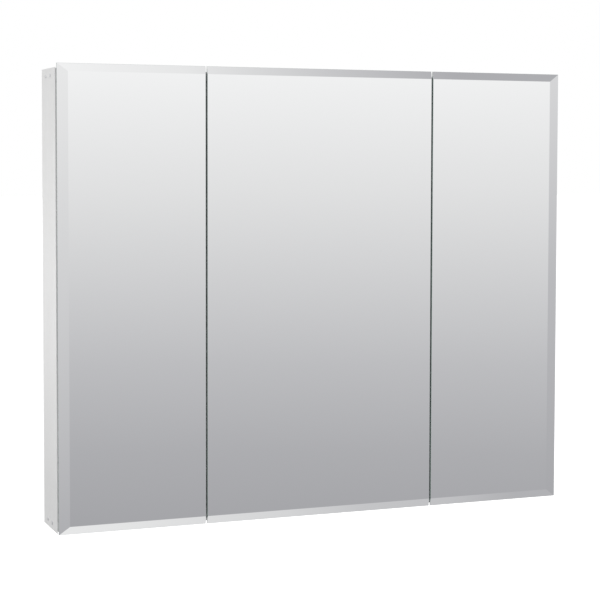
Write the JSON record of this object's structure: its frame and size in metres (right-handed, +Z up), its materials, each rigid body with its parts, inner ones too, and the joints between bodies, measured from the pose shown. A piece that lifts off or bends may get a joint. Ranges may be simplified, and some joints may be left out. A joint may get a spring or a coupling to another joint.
{
  "type": "medicine cabinet",
  "caption": "Wall-mounted medicine cabinet with frameless bevelled mirror doors on pivot hinges, glass shelves and touch latches.",
  "frame": {"origin": "middle of the four wall screw holes, on the wall face", "axes": "+X to the right of a person facing the mirrors, +Y into the wall, +Z up"},
  "size_m": [0.916, 0.11, 0.762],
  "materials": {
    "white_enamel": "satin powder coat",
    "mirror_glass": "polished silvered glass",
    "shelf_glass": "polished",
    "zinc_steel": "bright zinc plate",
    "satin_aluminium": "satin anodised",
    "foam_tape": "matte foam",
    "nylon": "matte",
    "latch_plastic": "matte",
    "magnet": "dark ferrite",
    "clear_rubber": "translucent soft"
  },
  "bodies": {
    "cabinet": {"left_side_panel": "white_enamel", "right_side_panel": "white_enamel", "top_panel": "white_enamel", "bottom_panel": "white_enamel", "back_panel": "white_enamel", "left_partition": "white_enamel", "right_partition": "white_enamel", "upper_hanging_rail": "white_enamel", "lower_hanging_rail": "white_enamel", "side_screws": "zinc_steel", "partition_screws": "zinc_steel", "rail_rivets": "zinc_steel", "bracket_screws": "zinc_steel", "latch_screws": "zinc_steel", "left_upper_shelf": "shelf_glass", "left_lower_shelf": "shelf_glass", "centre_upper_shelf": "shelf_glass", "centre_lower_shelf": "shelf_glass", "right_upper_shelf": "shelf_glass", "right_lower_shelf": "shelf_glass", "shelf_standards": "zinc_steel", "shelf_clips": "zinc_steel", "left_upper_bracket": "zinc_steel", "left_lower_bracket": "zinc_steel", "centre_upper_bracket": "zinc_steel", "centre_lower_bracket": "zinc_steel", "right_upper_bracket": "zinc_steel", "right_lower_bracket": "zinc_steel", "pivot_pins": "zinc_steel", "left_latch_housing": "latch_plastic", "centre_latch_housing": "latch_plastic", "right_latch_housing": "latch_plastic", "left_latch_spring": "zinc_steel", "centre_latch_spring": "zinc_steel", "right_latch_spring": "zinc_steel"},
    "left_door": {"left_mirror": "mirror_glass", "left_door_pan": "satin_aluminium", "left_mirror_tape": "foam_tape", "left_pivot_blocks": "nylon", "left_strike_plate": "zinc_steel", "left_door_bumpers": "clear_rubber"},
    "centre_door": {"centre_mirror": "mirror_glass", "centre_door_pan": "satin_aluminium", "centre_mirror_tape": "foam_tape", "centre_pivot_blocks": "nylon", "centre_strike_plate": "zinc_steel", "centre_door_bumpers": "clear_rubber"},
    "right_door": {"right_mirror": "mirror_glass", "right_door_pan": "satin_aluminium", "right_mirror_tape": "foam_tape", "right_pivot_blocks": "nylon", "right_strike_plate": "zinc_steel", "right_door_bumpers": "clear_rubber"},
    "left_latch": {"left_latch_plunger": "latch_plastic", "left_latch_magnet": "magnet"},
    "centre_latch": {"centre_latch_plunger": "latch_plastic", "centre_latch_magnet": "magnet"},
    "right_latch": {"right_latch_plunger": "latch_plastic", "right_latch_magnet": "magnet"}
  },
  "joints": [
    {"name": "left_door_hinge", "type": "hinge", "parent": "cabinet", "child": "left_door", "pos_m": [-0.4507, -0.104, 0], "axis": [0, 0, -1], "range_deg": [0, 95]},
    {"name": "centre_door_hinge", "type": "hinge", "parent": "cabinet", "child": "centre_door", "pos_m": [0.1986, -0.104, 0], "axis": [0, 0, 1], "range_deg": [0, 95]},
    {"name": "right_door_hinge", "type": "hinge", "parent": "cabinet", "child": "right_door", "pos_m": [0.4507, -0.104, 0], "axis": [0, 0, 1], "range_deg": [0, 95]},
    {"name": "left_latch_press", "type": "slide", "parent": "cabinet", "child": "left_latch", "axis": [0, 1, 0], "range_m": [0, 0.002], "stiffness_N_per_m": 500, "deforming": ["left_latch_spring"]},
    {"name": "centre_latch_press", "type": "slide", "parent": "cabinet", "child": "centre_latch", "axis": [0, 1, 0], "range_m": [0, 0.002], "stiffness_N_per_m": 500, "deforming": ["centre_latch_spring"]},
    {"name": "right_latch_press", "type": "slide", "parent": "cabinet", "child": "right_latch", "axis": [0, 1, 0], "range_m": [0, 0.002], "stiffness_N_per_m": 500, "deforming": ["right_latch_spring"]}
  ]
}
